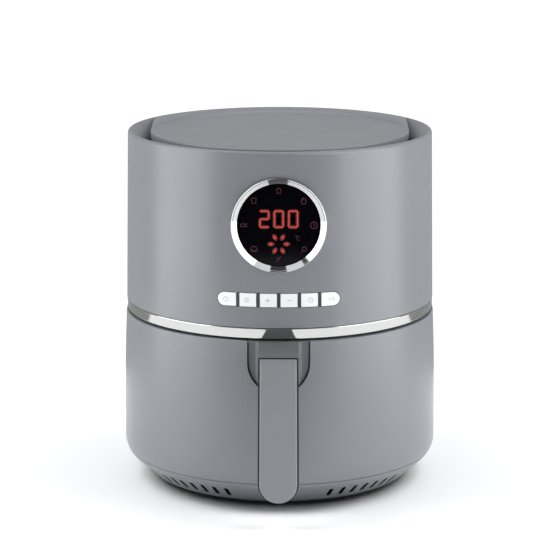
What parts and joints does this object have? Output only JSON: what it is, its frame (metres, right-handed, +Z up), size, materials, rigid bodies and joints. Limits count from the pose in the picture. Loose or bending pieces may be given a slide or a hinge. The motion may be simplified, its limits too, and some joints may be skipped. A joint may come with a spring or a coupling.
{
  "type": "drawer air fryer",
  "caption": "Round countertop air fryer with a pull-out drawer, pan and grid, a round digital display, a row of keys and a spinning hot-air fan.",
  "frame": {"origin": "on the floor under the middle of the whole machine, handle and air outlet included", "axes": "+Z up; the drawer pulls out towards -Y; +X is on the right seen from the front"},
  "size_m": [0.2708, 0.3334, 0.304],
  "materials": {
    "shell_plastic": "fine-grained matte moulding, warm to blue grey",
    "dark_plastic": "matte dark grey moulding",
    "chrome": "bright plated trim",
    "display_glass": "smoked, nearly black, glossy",
    "key_plastic": "satin white keys",
    "circuit_board": "solder mask",
    "components": "moulded components",
    "aluminised_steel": "rolled sheet with a light grain",
    "plated_steel": "zinc plated",
    "element_tube": "oxidised heating tube",
    "ceramic": "unglazed ceramic",
    "lamination": "stacked motor laminations",
    "copper_coil": "enamelled copper winding",
    "probe_steel": "sensor sheath",
    "nonstick": "dark non-stick coating with fine speckle",
    "silicone": "soft silicone",
    "rubber": "matte black rubber"
  },
  "bodies": {
    "housing": {"upper_shell": "shell_plastic", "top_cover": "shell_plastic", "intake_grille": "dark_plastic", "chrome_band": "chrome", "display_bezel": "chrome", "display_glass": "display_glass", "display_module": "dark_plastic", "control_board": "circuit_board", "key_board": "circuit_board", "key_frame": "dark_plastic", "rear_shell": "shell_plastic", "rear_screws": "plated_steel", "cord_gland": "rubber", "outlet_housing": "shell_plastic", "outlet_grille": "dark_plastic", "base_tray": "shell_plastic", "base_plate": "dark_plastic", "base_screws": "plated_steel", "rubber_feet": "rubber", "drawer_bay": "dark_plastic", "glide_strips": "dark_plastic", "interlock_switch": "dark_plastic", "heat_shield": "aluminised_steel", "outer_shield": "aluminised_steel", "heating_element": "element_tube", "element_terminals": "ceramic", "element_clips": "aluminised_steel", "element_guard": "plated_steel", "motor_deck": "aluminised_steel", "motor_standoffs": "plated_steel", "lower_bearing_plate": "plated_steel", "upper_bearing_plate": "plated_steel", "motor_stator": "lamination", "motor_coil": "copper_coil", "power_board": "circuit_board", "power_components": "components", "temperature_sensor": "probe_steel", "thermal_fuse": "ceramic", "terminal_block": "dark_plastic"},
    "rotor": {"hot_air_fan": "aluminised_steel", "cooling_fan": "dark_plastic", "motor_shaft": "plated_steel", "fan_nut": "plated_steel", "motor_rotor": "lamination"},
    "drawer": {"drawer_front": "shell_plastic", "drawer_liner": "dark_plastic", "handle_body": "dark_plastic", "handle_cap": "shell_plastic", "handle_screws": "plated_steel", "pan": "nonstick", "pan_bracket": "aluminised_steel"},
    "grid": {"crisper_grid": "nonstick", "grid_bumpers": "silicone"},
    "plunger": {"interlock_plunger": "dark_plastic"},
    "key_power": {"key_power": "key_plastic"},
    "key_program": {"key_program": "key_plastic"},
    "key_plus": {"key_plus": "key_plastic"},
    "key_minus": {"key_minus": "key_plastic"},
    "key_timer": {"key_timer": "key_plastic"},
    "key_start": {"key_start": "key_plastic"}
  },
  "joints": [
    {"name": "drawer_slide", "type": "slide", "parent": "housing", "child": "drawer", "axis": [0, -1, 0], "range_m": [0, 0.25]},
    {"name": "grid_lift", "type": "slide", "parent": "drawer", "child": "grid", "axis": [0, 0, 1], "range_m": [0, 0.1]},
    {"name": "fan_spin", "type": "hinge", "parent": "housing", "child": "rotor", "pos_m": [0, 0.0093, 0.2], "axis": [0, 0, 1], "continuous": true},
    {"name": "plunger_slide", "type": "slide", "parent": "housing", "child": "plunger", "axis": [0, -1, 0], "range_m": [0, 0.0016]},
    {"name": "key_power_press", "type": "slide", "parent": "housing", "child": "key_power", "axis": [0.314, 0.9494, 0], "range_m": [0, 0.0009], "stiffness_N_per_m": 1200, "springref_m": -0.0006},
    {"name": "key_program_press", "type": "slide", "parent": "housing", "child": "key_program", "axis": [0.1905, 0.9817, 0], "range_m": [0, 0.0009], "stiffness_N_per_m": 1200, "springref_m": -0.0006},
    {"name": "key_plus_press", "type": "slide", "parent": "housing", "child": "key_plus", "axis": [0.0638, 0.998, 0], "range_m": [0, 0.0009], "stiffness_N_per_m": 1200, "springref_m": -0.0006},
    {"name": "key_minus_press", "type": "slide", "parent": "housing", "child": "key_minus", "axis": [-0.0638, 0.998, 0], "range_m": [0, 0.0009], "stiffness_N_per_m": 1200, "springref_m": -0.0006},
    {"name": "key_timer_press", "type": "slide", "parent": "housing", "child": "key_timer", "axis": [-0.1905, 0.9817, 0], "range_m": [0, 0.0009], "stiffness_N_per_m": 1200, "springref_m": -0.0006},
    {"name": "key_start_press", "type": "slide", "parent": "housing", "child": "key_start", "axis": [-0.314, 0.9494, 0], "range_m": [0, 0.0009], "stiffness_N_per_m": 1200, "springref_m": -0.0006}
  ],
  "couplings": [
    {"joint": "plunger_slide", "follows": "drawer_slide", "ratio": 0.006}
  ]
}
